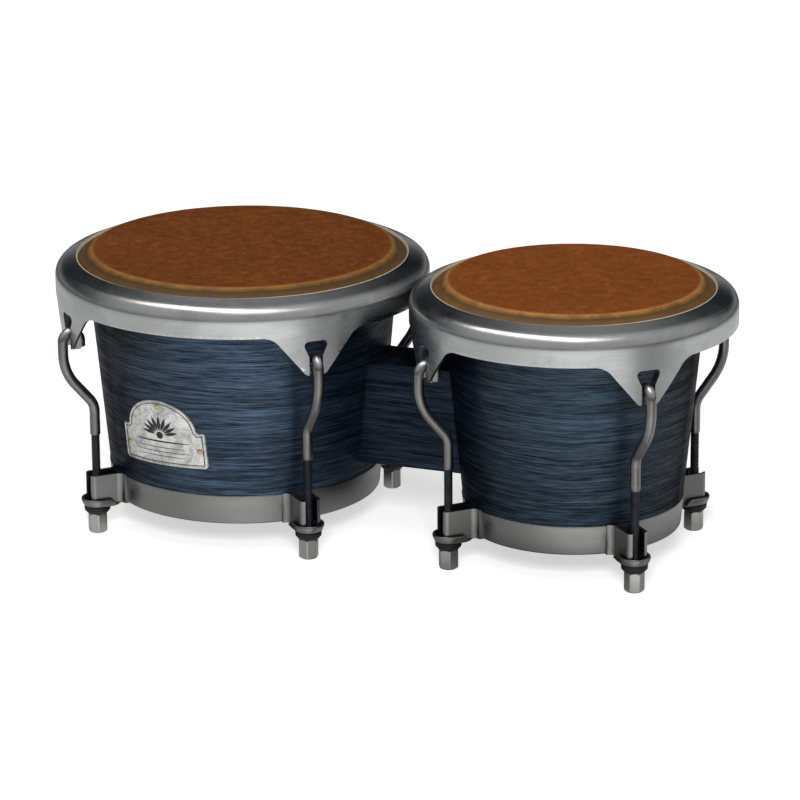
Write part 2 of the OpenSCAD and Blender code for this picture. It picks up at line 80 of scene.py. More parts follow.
HOLE_DROP = 4.8 * MM         # from the wall's lower edge to the keyhole's top
SADDLE_SINK = 4.9 * MM       # how far the slot's floor lies behind the wall
FLANGE_T = 1.8 * MM          # the keyhole's turned-in edge
FLANGE_DEEPER = 2.5 * MM     # how far that edge reaches past the slot's floor

# Head
COLLAR_DROP = 6.9 * MM
HOOP_OUT = 15.0 * MM
HOOP_WRAP = 5.2 * MM
SKIN_T = 1.5 * MM

# Hook
ROD_R = 3.7 * MM
THREAD_R = 3.175 * MM
THREAD_TOP = 73.0 * MM
THREAD_PITCH = 1.27 * MM
THREAD_DEPTH = 0.5 * MM
ROD_STANDOFF = 3.9 * MM
ROD_STEP = 22.4 * MM
STEP_ANGLE = math.radians(40)
STEP_LOW = 90.6 * MM         # height at which the step begins
STEP_BEND = 15.0 * MM        # bend radius at the foot of the step
STEP_SWEEP = 36.0 * MM       # and at its head
CROOK_R = 6.5 * MM           # from the middle of the crook to the middle of the rod

# Lug hardware
LUGS = (225, 315, 45, 135)
SHELL_OUT = 5.0 * MM         # from the playing surface's edge to the line of the shell's side
RING_PROUD = 0.6 * MM        # from that line to the ring's face
RING_LEVEL = 0.6 * MM        # below the ring's top, where the ring is that wide
RING_T = 2.0 * MM
RING_FLANGE = 8.0 * MM       # how far the ring turns in under the shell
CUP_R = 11.3 * MM
CUP_BACK = 7.5 * MM
CUP_T = 2.0 * MM
BRACKET_W = 15.5 * MM
BRACKET_T = 2.0 * MM
BRACKET_FRONT = 6.2 * MM
BRACKET_FLARE = 4.5 * MM
BRACKET_CORNER = 3.2 * MM
BRACKET_SLOT = 9.0 * MM
BORE_R = 3.235 * MM
NUT_AF = 12.7 * MM           # across the flats

# Badge
BADGE_TURN = math.radians(-102.3)
BADGE_TILT = math.radians(2)
BADGE_Z = 62.5 * MM
BADGE_HALF = 35.4 * MM
BADGE_H = 26.5 * MM
ARCH_W = 29.17 * MM
ARCH_H = 22.3 * MM
BADGE_T = 1.2 * MM

# Camera, seen from the middle of the drums
CAMERA_TURN = math.radians(21.142)
CAMERA_RISE = math.radians(17.876)
CAMERA_ROLL = math.radians(-0.41)
CAMERA_FAR = 3.1295
CAMERA_LENS = 197.0          # focal length in millimetres
CAMERA_AIM = (4.2 * MM, 0.27 * MM, -3.92 * MM)
CAMERA_AHEAD = (-math.sin(CAMERA_TURN), math.cos(CAMERA_TURN), 0)
CAMERA_LEFT = (-math.cos(CAMERA_TURN), -math.sin(CAMERA_TURN), 0)


# ---- colours and shader nodes ----

def rgb(red, green, blue):
    """Linear colour of a display colour given from 0 to 255."""
    def linear(value):
        value /= 255
        return value / 12.92 if value <= 0.04045 else ((value + 0.055) / 1.055) ** 2.4
    return (linear(red), linear(green), linear(blue), 1.0)


class Shader:
    """The node tree of a material or a world, and the few calls that fill it."""

    def __init__(self, name, store=bpy.data.materials):
        self.owner = store.new(name)
        self.owner.use_nodes = True
        self.tree = self.owner.node_tree
        self.tree.nodes.clear()

    def add(self, kind, inputs=None, **settings):
        node = self.tree.nodes.new(kind)
        for key, value in settings.items():
            setattr(node, key, value)
        for key, value in (inputs or {}).items():
            if isinstance(value, bpy.types.NodeSocket):
                self.tree.links.new(value, node.inputs[key])
            else:
                node.inputs[key].default_value = value
        return node

    def math(self, operation, a, b=0.0):
        return self.add("ShaderNodeMath", {0: a, 1: b}, operation=operation).outputs[0]

    def times(self, a, b):
        return self.math("MULTIPLY", a, b)

    def weigh(self, *pairs):
        """The sum of values, each times its weight."""
        total = self.times(*pairs[0])
        for value, weight in pairs[1:]:
            total = self.math("ADD", total, self.times(value, weight))
        return total

    def vector(self, operation, a, b=(0, 0, 0)):
        node = self.add("ShaderNodeVectorMath", {0: a, 1: b}, operation=operation)
        return node.outputs["Value" if operation in ("DOT_PRODUCT", "LENGTH") else "Vector"]

    def axis(self, vector, index):
        """The X, Y or Z part of a vector, for index 0, 1 or 2."""
        return self.add("ShaderNodeSeparateXYZ", {0: vector}).outputs[index]

    def upward(self):
        """How far the surface faces up."""
        return self.axis(self.add("ShaderNodeNewGeometry").outputs["Normal"], 2)

    def place(self):
        """Coordinates in the row frame."""
        return self.add("ShaderNodeTexCoord").outputs["Object"]

    def about(self, centre):
        """Coordinates measured from a drum's axis, and the distance from that axis."""
        moved = self.vector("SUBTRACT", self.place(), (centre[0], centre[1], 0))
        return moved, self.vector("LENGTH", self.stretched(moved, (1, 1, 0)))

    def stretched(self, vector, scale):
        return self.vector("MULTIPLY", vector, scale)

    def noise(self, vector, scale=1.0, detail=4.0, rough=0.55, warp=0.0):
        return self.add("ShaderNodeTexNoise", {"Vector": vector, "Scale": scale, "Detail": detail,
            "Roughness": rough, "Distortion": warp}).outputs[0]

    def ramp(self, value, stops):
        """A colour ramp; a stop is a position with a colour or a grey level."""
        node = self.add("ShaderNodeValToRGB", {0: value})
        elements = node.color_ramp.elements
        while len(elements) < len(stops):
            elements.new(0.5)
        for element, (position, colour) in zip(elements, stops):
            element.position = position
            element.color = colour if isinstance(colour, tuple) else (colour, colour, colour, 1)
        return node.outputs[0]

    def tones(self, value, shade, *stops):
        """A ramp over (position, red, green, blue) stops, made darker or lighter by a factor."""
        return self.ramp(value, [(at, tuple(c * shade for c in rgb(*tone)[:3]) + (1,))
            for at, *tone in stops])

    def mix(self, share, a, b):
        return self.add("ShaderNodeMix", {0: share, 6: a, 7: b}, data_type="RGBA").outputs[2]

    def range(self, value, low, high, to_low, to_high):
        return self.add("ShaderNodeMapRange", {0: value, 1: low, 2: high, 3: to_low,
            4: to_high}).outputs[0]

    def bump(self, height, depth, strength=1.0):
        return self.add("ShaderNodeBump", {"Height": height, "Distance": depth,
            "Strength": strength}).outputs[0]

    def finish(self, **inputs):
        """Ends the tree with a principled surface. Spaces in input names are underscores."""
        named = {key.replace("_", " "): value for key, value in inputs.items()}
        surface = self.add("ShaderNodeBsdfPrincipled", named).outputs[0]
        self.add("ShaderNodeOutputMaterial", {"Surface": surface})
        return self.owner


def stained_wood(name, shade, gloss, tint=(0.47, 0.69, 1.0, 1)):
    """Blue-black stain over short fine streaks that run level round the shell.

    The varnish shines less where it is seen edge on.
    """
    s = Shader(name)
    place = s.place()
    drift = s.noise(s.stretched(place, (11, 11, 16)), detail=2)
    lift = s.times(s.math("SUBTRACT", drift, 0.5), 5 * MM)
    waved = s.vector("ADD", place, s.add("ShaderNodeCombineXYZ", {2: lift}).outputs[0])
    broad = s.noise(s.stretched(waved, (8, 8, 150)), detail=3, rough=0.6)
    streak = s.noise(s.stretched(waved, (24, 24, 850)), detail=3, rough=0.7)
    fibre = s.noise(s.stretched(waved, (90, 90, 2400)), detail=2, rough=0.6)
    value = s.weigh((broad, 0.22), (streak, 0.48), (fibre, 0.30))
    colour = s.tones(value, shade, (0.38, 6, 9, 15), (0.45, 14, 21, 32), (0.50, 26, 37, 53),
        (0.56, 41, 55, 76), (0.63, 60, 77, 100))
    edge_on = s.add("ShaderNodeLayerWeight", {"Blend": 0.5}).outputs["Facing"]
    shine = s.times(s.range(value, 0.425, 0.595, 0.2 * gloss, gloss),
        s.range(edge_on, 0.22, 0.68, 1.0, 0.06))
    return s.finish(Base_Color=colour, Roughness=s.range(value, 0.42, 0.60, 0.44, 0.36),
        Specular_IOR_Level=shine, IOR=s.range(edge_on, 0.22, 0.60, 1.7, 1.3),
        Specular_Tint=tint,
        Normal=s.bump(s.weigh((streak, 1.0), (fibre, 0.6)), 0.25 * MM, 0.4))


def hide(name, centre, head_r, shade):
    """Rawhide: mottled brown on the flat, a tan bend that is a painted highlight, and a creased
    collar with darker brown stripes and random dark blotches that turns near-black under the
    rim's lip, a painted shade.
    """
    s = Shader(name)
    place, radius = s.about(centre)
    blotch = s.noise(place, 16, 4, 0.6, 0.4)
    mottle = s.noise(place, 75, 5, 0.65, 0.6)
    grain = s.noise(place, 520, 4, 0.7)
    pores = s.add("ShaderNodeTexVoronoi", {"Vector": place, "Scale": 900}).outputs[0]
    value = s.weigh((blotch, 0.30), (mottle, 0.35), (grain, 0.35))
    flat = s.tones(value, shade, (0.36, 86, 41, 11), (0.47, 100, 50, 13), (0.57, 111, 58, 17),
        (0.70, 126, 72, 27))
    strand = s.noise(place, 380, 2, 0.5, 2.0)
    off = s.math("ABSOLUTE", s.math("SUBTRACT", strand, 0.5))
    fibres = s.times(s.range(off, 0.0, 0.035, 1.0, 0.0),
        s.range(s.noise(place, 130, 3, 0.6), 0.44, 0.62, 0.0, 0.54))
    flat = s.mix(fibres, flat, rgb(196, 140, 78))
    wander = s.times(s.math("SUBTRACT", mottle, 0.5), 2.4 * MM)
    out = s.math("ADD", s.math("SUBTRACT", radius, head_r), wander)
    across = s.range(out, -4 * MM, 11 * MM, 0.0, 1.0)
    # Painted highlight and painted shade: the tan stops round the bend are a painted highlight,
    # and the last stops turn near-black where the collar runs in under the rim's lip.
    band_with_painted_light = s.tones(across, shade, (0.0, 106, 58, 22), (0.16, 126, 76, 32), (0.27, 156, 108, 58),
        (0.38, 128, 90, 46), (0.52, 72, 57, 33), (0.66, 94, 68, 38),
        (0.80, 102, 70, 41), (0.93, 62, 42, 28), (1.0, 20, 14, 12))
    # Random dark blotches by the mottle noise, laid over the band with its painted highlight and
    # painted shade.
    mottled_band_with_painted_light = s.mix(s.range(mottle, 0.35, 0.65, 0.0, 0.45), band_with_painted_light, rgb(64, 48, 30))
    colour = s.mix(s.range(out, -3.5 * MM, -0.5 * MM, 0.0, 1.0), flat, mottled_band_with_painted_light)
    relief = s.weigh((grain, 0.7), (mottle, 0.8), (pores, 0.3))
    return s.finish(Base_Color=colour, Roughness=s.range(mottle, 0.3, 0.7, 0.66, 0.52),
        Specular_IOR_Level=0.15, Normal=s.bump(relief, 0.18 * MM, 0.55))


def brushed(name, tone, centre=None, rough=0.34, streak=1.0, aniso=0.0, lip_r=None):
    """Steel brushed round the drum's axis, or along its height when it has no axis.

    A lip radius is for a rim: it smooths the top and adds a pale cream line along the lip,
    fainter towards the drum's front and back.
    """
    s = Shader(name)
    if centre:
        place, radius = s.about(centre)
        across = s.add("ShaderNodeCombineXYZ", {0: s.times(radius, 2600),
            1: s.times(s.axis(place, 2), 3200)}).outputs[0]
        lines = s.vector("ADD", across, s.stretched(place, (9, 9, 0)))
    else:
        place = s.place()
        lines = s.stretched(place, (900, 900, 60))
    scratch = s.noise(lines, 1, 4, 0.65)
    cloud = s.noise(place, 22, 4, 0.6, 0.5)
    smear = s.noise(s.stretched(place, (30, 30, 120)), 1, 3, 0.6)
    light = tuple(min(1.0, c * 1.09) for c in tone)
    dark = tuple(c * 0.90 for c in tone)
    value = s.weigh((scratch, 0.55 * streak), (cloud, 0.45))
    base = s.ramp(value, [(0.30, dark + (1,)), (0.5 * (0.55 * streak + 0.45), tone + (1,)),
        (0.72, light + (1,))])
    spread = s.math("ADD", s.range(scratch, 0.3, 0.7, rough - 0.07, rough + 0.07),
        s.range(smear, 0.3, 0.7, -0.05, 0.05))
    grooves = 0.5
    inputs = {}
    if lip_r:
        upward = s.upward()
        spread = s.times(spread, s.range(upward, 0.62, 0.92, 1.0, 0.7))
        grooves = s.range(upward, 0.30, 0.80, 0.3, 0.08)
        aside = s.math("DIVIDE", s.math("ABSOLUTE", s.axis(place, 0)), radius)
        # A pale cream, less metallic line along the lip, fainter towards the drum's front and
        # back.
        pale_lip_line = s.times(s.range(radius, lip_r + 0.9 * MM, lip_r + 1.2 * MM, 1.0, 0.0),
            s.range(aside, 0.30, 0.75, 0.12, 1.0))
        base = s.mix(pale_lip_line, base, (0.55, 0.50, 0.36, 1))
        inputs["Metallic"] = s.math("SUBTRACT", 1.0, pale_lip_line)
    if aniso:
        inputs["Anisotropic"] = aniso
        inputs["Tangent"] = s.add("ShaderNodeTangent", direction_type="RADIAL",
            axis="Z").outputs[0]
    return s.finish(**{"Base_Color": base, "Metallic": 1.0, "Roughness": spread,
        "Normal": s.bump(scratch, 0.02 * MM * streak, grooves), **inputs})


def satin_rod(name):
    """A hook: satin steel above with a painted highlight where it faces up, and a blackened
    thread below.
    """
    s = Shader(name)
    place = s.place()
    cloud = s.noise(place, 60, 4, 0.6, 0.4)
    scratch = s.noise(s.stretched(place, (700, 700, 90)), 1, 4, 0.65)
    steel = s.ramp(s.weigh((cloud, 0.5), (scratch, 0.5)),
        [(0.3, (0.13, 0.128, 0.122, 1)), (0.5, (0.175, 0.172, 0.165, 1)),
         (0.7, (0.25, 0.246, 0.236, 1))])
    # Painted highlight: the steel turns pale grey where the surface faces up, as on the crook's
    # top.
    steel = s.mix(s.range(s.upward(), 0.12, 0.60, 0.0, 1.0), steel, (0.50, 0.50, 0.53, 1))
    black = s.tones(cloud, 1.0, (0.35, 38, 43, 49), (0.65, 58, 64, 72))
    edge = s.math("ADD", s.axis(place, 2), s.times(s.math("SUBTRACT", cloud, 0.5), 0.6 * MM))
    share = s.range(edge, THREAD_TOP - 0.2 * MM, THREAD_TOP + 0.2 * MM, 0.0, 1.0)
    rough = s.math("ADD", s.range(cloud, 0.3, 0.7, 0.26, 0.40), s.range(share, 0, 1, 0.12, 0.0))
    return s.finish(Base_Color=s.mix(share, black, steel), Roughness=rough,
        Metallic=s.range(share, 0, 1, 0.75, 1.0),
        Normal=s.bump(scratch, 0.02 * MM, 0.4))


def rubber(name):
    s = Shader(name)
    place = s.place()
    cloud = s.noise(place, 180, 4, 0.6)
    return s.finish(Base_Color=s.tones(cloud, 1.0, (0.3, 8, 9, 12), (0.7, 17, 20, 25)),
        Roughness=s.range(cloud, 0.3, 0.7, 0.42, 0.58),
        Normal=s.bump(s.noise(place, 900, 3), 0.05 * MM, 0.4))


def badge_face(name):
    """Bright plate with a clouded, lightly brushed face."""
    s = Shader(name)
    place = s.place()
    cloud = s.noise(place, 60, 5, 0.7, 1.2)
    fine = s.noise(s.stretched(place, (500, 500, 2200)), 1, 3, 0.6)
    value = s.weigh((cloud, 0.7), (fine, 0.3))
    colour = s.ramp(value, [(0.36, (0.31, 0.31, 0.30, 1)), (0.48, (0.59, 0.59, 0.57, 1)),
        (0.60, (0.95, 0.95, 0.92, 1))])
    return s.finish(Base_Color=colour, Metallic=0.75,
        Roughness=s.range(cloud, 0.3, 0.7, 0.30, 0.48),
        Normal=s.bump(value, 0.04 * MM, 0.4))


def speckled(name, scale, detail, low, high, rough, metal=0.0):
    """Printed line, enamel or brass: a fine cloud between two colours."""
    s = Shader(name)
    cloud = s.noise(s.place(), scale, detail, 0.6)
    return s.finish(Base_Color=s.ramp(cloud, [(0.35, low), (0.65, high)]), Metallic=metal,
        Roughness=s.range(cloud, 0.3, 0.7, *rough),
        Normal=s.bump(cloud, 0.02 * MM, 0.3))


# ---- mesh helpers ----

def make_piece(name, node, slot, shapes, *materials, body="frame", edge=0.0, segments=2,
        crease=35):
    """A piece of (points, faces) shapes that stands in for a CAD node and rides on a body.

    A third value in a shape picks one of the materials, and without it the first is taken.
    """
    mesh = bpy.data.meshes.new(name)
    points, faces, paint = [], [], []
    for shape_points, shape_faces, *choice in shapes:
        start = len(points)
        points += shape_points
        faces += [tuple(start + i for i in face) for face in shape_faces]
        paint += (choice or [0]) * len(shape_faces)
    mesh.from_pydata(points, [], faces)
    for material in materials:
        mesh.materials.append(material)
    mesh.polygons.foreach_set("material_index", paint)
    work = bmesh.new()
    work.from_mesh(mesh)
    bmesh.ops.recalc_face_normals(work, faces=work.faces)
    work.to_mesh(mesh)
    work.free()
    mesh.shade_smooth()
    mesh.set_sharp_from_angle(angle=math.radians(crease))
    piece = bpy.data.objects.new(name, mesh)
    bpy.context.scene.collection.objects.link(piece)
    if edge:
        bevel = piece.modifiers.new("edges", "BEVEL")
        bevel.width = edge
        bevel.segments = segments
        bevel.limit_method = "ANGLE"
        bevel.angle_limit = math.radians(40)
        bevel.harden_normals = True
    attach(piece, body)
    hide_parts(node)


def skin_rings(rings, loop=False, caps=False):
    """Points and faces over a row of closed rings with equal counts."""
    count = len(rings[0])
    points = [point for ring in rings for point in ring]
    faces = []
    for j in range(len(rings) if loop else len(rings) - 1):
        a, b = j * count, (j + 1) % len(rings) * count
        for i in range(count):
            k = (i + 1) % count
            faces.append((a + i, a + k, b + k, b + i))
    if caps:
        faces.append(tuple(reversed(range(count))))
        faces.append(tuple(range(len(points) - count, len(points))))
    return points, faces


def line(start, end, steps):
    """Evenly spread places after a start, up to and including the end."""
    return [tuple(a + (b - a) * i / steps for a, b in zip(start, end))
        for i in range(1, steps + 1)]


def arc(cx, cy, radius, start, end, steps):
    """Points of an arc; angles in degrees."""
    angles = [math.radians(start + (end - start) * i / steps) for i in range(steps + 1)]
    return [(cx + radius * math.cos(a), cy + radius * math.sin(a)) for a in angles]


def rounded(corners, steps=4):
    """Closed profile from (x, y, corner radius) with each corner turned into an arc."""
    out = []
    for i, (x, y, radius) in enumerate(corners):
        here = Vector((x, y))
        back = (Vector(corners[i - 1][:2]) - here).normalized()
        ahead = (Vector(corners[(i + 1) % len(corners)][:2]) - here).normalized()
        half = back.angle(ahead) / 2
        reach = radius / math.tan(half)
        centre = here + (back + ahead).normalized() * (radius / math.sin(half))
        first, last = here + back * reach - centre, here + ahead * reach - centre
        turn = first.angle_signed(last)
        for step in range(steps + 1):
            out.append(tuple(centre + Matrix.Rotation(-turn * step / steps, 2) @ first))
    return out


def circle(count):
    """Angles spread evenly over one turn."""
    return [TAU * i / count for i in range(count)]


class Drum:
    """Places of one drum, read from the frame."""

    def __init__(self, name):
        self.name = name
        low, high = self.box("rim")
        self.x, self.y = (low.x + high.x) / 2, (low.y + high.y) / 2
        self.rim_r = (high.x - low.x) / 2
        self.tab_z = low.z
        self.head_r = self.rim_r - RIM_REACH
        self.lip_r = self.head_r + RIM_LIP
        self.head_z = self.box("head")[1].z
        crest = self.head_z - RIM_CREST
        self.wall_z = crest - RIM_WALL
        self.round_r = self.rim_r - RIM_ROUND
        out = self.round_r + RIM_ROUND * math.cos(RIM_TURN) - self.lip_r
        self.slope = (out - 0.4 * MM) / math.cos(RIM_LEAN)
        self.round_z = (crest - math.tan(RIM_LEAN) * (out - 1.5 * MM)
            - RIM_ROUND * math.sin(RIM_TURN))
        self.hoop_z = sum(self.heights("flesh_hoop")) / 2
        low, high = self.box("bottom_ring")
        self.ring_z, self.ring_top = low.z, high.z
        self.ring_r = (high.x - low.x) / 2
        self.nut_top = self.heights("nut_1")[1]
        self.cup_z, self.cup_top = self.heights("cup_washers")
        self.bracket_z, self.bracket_top = self.heights("lug_bracket_1")
        self.hook_z, hook_top = self.heights("hook_1")
        self.crook_z = hook_top - CROOK_R - ROD_R
        self.rod_out = self.rim_r + ROD_STANDOFF
        self.rod_in = self.rod_out - ROD_STEP
        self.cone_r = self.ring_r - RING_PROUD
        self.cone_z = self.ring_top - RING_LEVEL
        self.cone = (self.head_r + SHELL_OUT - self.cone_r) / (self.head_z - self.cone_z)

    def box(self, part):
        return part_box(f"{self.name}_{part}")

    def heights(self, part):
        """The lowest and the highest height of a part."""
        return [corner.z for corner in self.box(part)]

    def shell_r(self, z):
        """Outer radius of the wooden shell at a height."""
        return self.cone_r + self.cone * (z - self.cone_z)

    def at(self, angle, radius, z):
        return Vector((self.x + radius * math.cos(angle), self.y + radius * math.sin(angle), z))

    def lug(self, index, out, across, z):
        """A point by its distance out from the axis and across the lug's direction."""
        angle = math.radians(LUGS[index])
        return Vector((self.x + out * math.cos(angle) - across * math.sin(angle),
            self.y + out * math.sin(angle) + across * math.cos(angle), z))

    def lug_outline(self, index, outline, z):
        """A flat outline of (out, across) points at a height."""
        return [self.lug(index, out, across, z) for out, across in outline]

    def rod_ring(self, index, z, count, radius_at, turn_by=0.0):
        """A ring round a hook's foot, with a radius for each angle."""
        return [self.lug(index, self.rod_in + radius_at(turn) * math.cos(turn + turn_by),
            radius_at(turn) * math.sin(turn + turn_by), z) for turn in circle(count)]


# ---- heads ----

def head_profile(drum):
    """Radius and height pairs from the middle of the top, over the collar, to the hoop."""
    fall = COLLAR_DROP / RIM_LIP
    top = line((0, drum.head_z), (drum.head_r, drum.head_z), 30)[:27]
    edge = [(drum.head_r + out * MM, drum.head_z - drop * MM) for out, drop in
        ((-3.0, 0.0), (-1.8, 0.06), (-0.6, 0.25), (0.4, 0.62), (1.4, 1.15))]
    collar = line((edge[-1][0], drum.head_z - fall * 1.4 * MM - 0.2 * MM),
        (drum.lip_r, drum.head_z - COLLAR_DROP - 0.2 * MM), 13)
    wrap = arc(drum.head_r + HOOP_OUT, drum.hoop_z, HOOP_WRAP, math.degrees(RIM_TURN), -150, 16)
    under = [(drum.head_r + 6 * MM, drum.head_z - fall * 6 * MM - SKIN_T - 0.5 * MM),
        (drum.head_r - 2 * MM, drum.head_z - SKIN_T)]
    return top + edge + collar + wrap + under


def crease_height(drum, angle, radius):
    """How far the skin rises or sinks at a place: slack waves, and creases in the collar."""
    x, y = radius * math.cos(angle), radius * math.sin(angle)
    spot = Vector((x * 14 + drum.x * 90, y * 14, 0.0))
    wave = 0.16 * MM * noise.noise(spot)
    out = radius - drum.head_r
    if out < -2 * MM:
        return wave
    reach = min(1.0, (out + 2 * MM) / (5 * MM))
    twist = 3.0 * noise.noise(Vector((math.cos(angle) * 2, math.sin(angle) * 2, drum.x * 9)))
    rings = math.cos(out / (2.3 * MM) * 3.1 + twist)
    pucker = noise.noise(Vector((math.cos(angle) * 16, math.sin(angle) * 16, out * 60)))
    return wave + reach * (0.14 * MM * rings + 0.22 * MM * pucker)


def build_head(drum, material):
    count = 360
    hidden = drum.lip_r + 1.5 * MM
    rings = []
    for radius, height in head_profile(drum):
        ring = []
        for angle in circle(count):
            lift = 0.0
            if radius < hidden and height > drum.head_z - COLLAR_DROP - 2 * MM:
                lift = min(crease_height(drum, angle, radius), 0.15 * MM)
            ring.append(drum.at(angle, radius, height + lift))
        rings.append(ring)
    points, faces = skin_rings(rings)
    top = len(points)
    points += [drum.at(0, 0, drum.head_z), drum.at(0, 0, drum.head_z - SKIN_T)]
    last = top - count
    for i in range(count):
        after = (i + 1) % count
        faces += [(after, i, top), (last + i, last + after, top + 1)]
    make_piece(drum.name + "_head_hide", drum.name + "_head", "head_skin", [(points, faces)],
        material, crease=60)


# ---- rims ----

def tab_edge(drum):
    """Half of a sector's lower edge, across and up, from the wall to the slot's mouth."""
    shoulder = TAB_ROOT + TAB_FILLET * math.tan(TAB_SLOPE / 2)
    turn = 90 + math.degrees(TAB_SLOPE)
    curve = arc(shoulder, drum.wall_z - TAB_FILLET, TAB_FILLET, 90, turn, 14)
    tip = [(across * MM, drum.tab_z + up * MM) for across, up in
        ((9.6, 2.9), (8.9, 1.9), (8.0, 1.0), (7.0, 0.35), (6.0, 0.0))]
    return curve + line(curve[-1], tip[0], 8) + tip[1:]


def slot_edge(drum):
    """Half of the keyhole, from the slot's mouth up and over to its middle."""
    mouth, neck = (SLOT_HALF, drum.tab_z), (SLOT_HALF, drum.tab_z + SLOT_NECK)
    top = drum.wall_z - HOLE_DROP
    hole = arc(HOLE_HALF, top - HOLE_ROUND, HOLE_ROUND, -24, 90, 9)
    return ([mouth] + line(mouth, neck, 6) + line(neck, hole[0], 4) + hole[1:]
        + line(hole[-1], (0, top), 4))


def rim_outline(drum, sheet_top):
    """One quarter of the rim rolled out flat, as a closed outline round one tab."""
    quarter = drum.rim_r * TAU / 8    # half of its length
    corner = (quarter, drum.wall_z)
    lower = tab_edge(drum)
    half = [corner] + line(corner, lower[0], 12) + lower[1:] + slot_edge(drum)
    right = line(corner, (quarter, sheet_top), 14)
    top = line(right[-1], (-quarter, sheet_top), 36)
    left = [(-x, z) for x, z in reversed(right[:-1])] + [(-x, z) for x, z in half[:-1]]
    return list(reversed(half)) + right + top + left


def inside(outline, x, y):
    """True if a point is inside a closed outline."""
    hit = False
    for i, (x1, y1) in enumerate(outline):
        x0, y0 = outline[i - 1]
        if (y0 > y) != (y1 > y) and x < (x1 - x0) * (y - y0) / (y1 - y0) + x0:
            hit = not hit
    return hit


def clear_of(outline, x, y, gap):
    """True if no point of the outline is within a gap."""
    return all((x - px) ** 2 + (y - py) ** 2 > gap * gap for px, py in outline)


def fill_outline(outline, step_x, step_y, gap):
    """Triangles over an outline, with a regular grid of points inside it."""
    xs, ys = zip(*outline)
    inner = []
    for i in range(int((max(xs) - min(xs)) / step_x) + 1):
        for j in range(int((max(ys) - min(ys)) / step_y) + 1):
            x, y = min(xs) + (i + 0.5) * step_x, min(ys) + (j + 0.5) * step_y
            if inside(outline, x, y) and clear_of(outline, x, y, gap):
                inner.append((x, y))
    points = [Vector(p) for p in outline + inner]
    filled = delaunay_2d_cdt(points, [], [list(range(len(outline)))], 1, 1e-8)
    return [tuple(p) for p in filled[0]], [tuple(face) for face in filled[2]]


def rim_place(drum, across, along, depth):
    """Where a point of the flat sheet goes: up the wall, over the round and in to the lip."""
    tilt = min(max((along - drum.round_z) / RIM_ROUND, 0.0), RIM_TURN)
    past = max(along - drum.round_z - RIM_ROUND * RIM_TURN, 0.0)
    radius = (drum.round_r + (RIM_ROUND - depth) * math.cos(tilt)
        - past * math.cos(RIM_LEAN))
    height = (min(along, drum.round_z) + (RIM_ROUND - depth) * math.sin(tilt)
        + past * math.sin(RIM_LEAN))
    return drum.at(across / drum.rim_r, radius, height)


def solid_sheet(flat_points, triangles, place, thickness):
    """A sheet with a front, a back and walls round its open edges."""
    count = len(flat_points)
    points = [place(p, 0.0) for p in flat_points] + [place(p, thickness) for p in flat_points]
    faces = list(triangles) + [tuple(count + i for i in reversed(t)) for t in triangles]
    edges = dict.fromkeys((a, t[(i + 1) % len(t)]) for t in triangles for i, a in enumerate(t))
    for a, b in edges:
        if (b, a) not in edges:
            faces.append((b, a, count + a, count + b))
    return points, faces


def rim_sheet(drum):
    """The whole pressed band: one quarter for each tab, with their shared edges merged."""
    outline = rim_outline(drum, drum.round_z + RIM_ROUND * RIM_TURN + drum.slope)
    flat, triangles = fill_outline(outline, 3.0 * MM, 1.9 * MM, 0.9 * MM)
    whole = drum.rim_r * TAU
    grid = 0.01 * MM
    merged, index, all_triangles = [], {}, []
    for lug in LUGS:
        local = []
        for across, along in flat:
            total = (across + math.radians(lug) * drum.rim_r) % whole
            key = (round(total / grid) % round(whole / grid), round(along / grid))
            if abs(abs(across) - whole / 8) > 2 * grid:
                key = (lug, len(local), "inner")
            if key not in index:
                index[key] = len(merged)
                merged.append((total, along))
            local.append(index[key])
        all_triangles += [tuple(local[i] for i in t) for t in triangles]
    return solid_sheet(merged, all_triangles, lambda p, depth: rim_place(drum, *p, depth), RIM_T)


def flange(drum, index):
    """The keyhole's edge, pressed in behind the tab."""
    half = slot_edge(drum)
    path = half + [(-x, z) for x, z in reversed(half[:-1])]
    front = drum.rim_r - RIM_T + 0.3 * MM
    back = drum.rim_r - SADDLE_SINK - FLANGE_DEEPER
    gap = 0.06 * MM
    rings = []
    for i, (x, z) in enumerate(path):
        before, after = Vector(path[max(i - 1, 0)]), Vector(path[min(i + 1, len(path) - 1)])
        along = (after - before).normalized()
        near = (x + along.y * gap, z - along.x * gap)
        far = (x + along.y * FLANGE_T, z - along.x * FLANGE_T)
        rings.append([drum.lug(index, out, *side) for out, side in
            ((front, near), (back, near), (back, far), (front, far))])
    return skin_rings(rings, caps=True)


def saddle(drum, index):
    """The floor of the slot that carries the hook."""
    top = drum.crook_z + 1.2 * MM
    floor = drum.rim_r - SADDLE_SINK
    wide = SLOT_HALF + FLANGE_T
    plan = rounded([(floor, -wide, 0.8 * MM), (floor + 2 * MM, -wide, 0.3 * MM),
        (floor + 2 * MM, wide, 0.3 * MM), (floor, wide, 0.8 * MM)])
    return skin_rings([drum.lug_outline(index, plan, z) for z in (drum.tab_z + 0.1 * MM, top)],
        caps=True)


def build_rim(drum, material):
    shapes = [rim_sheet(drum)]
    for index in range(len(LUGS)):
        shapes += [flange(drum, index), saddle(drum, index)]
    make_piece(drum.name + "_rim_pressed", drum.name + "_rim", "rim_steel", shapes, material,
        body=drum.name + "_rim_set", edge=0.45 * MM, segments=3, crease=45)


# ---- hooks ----

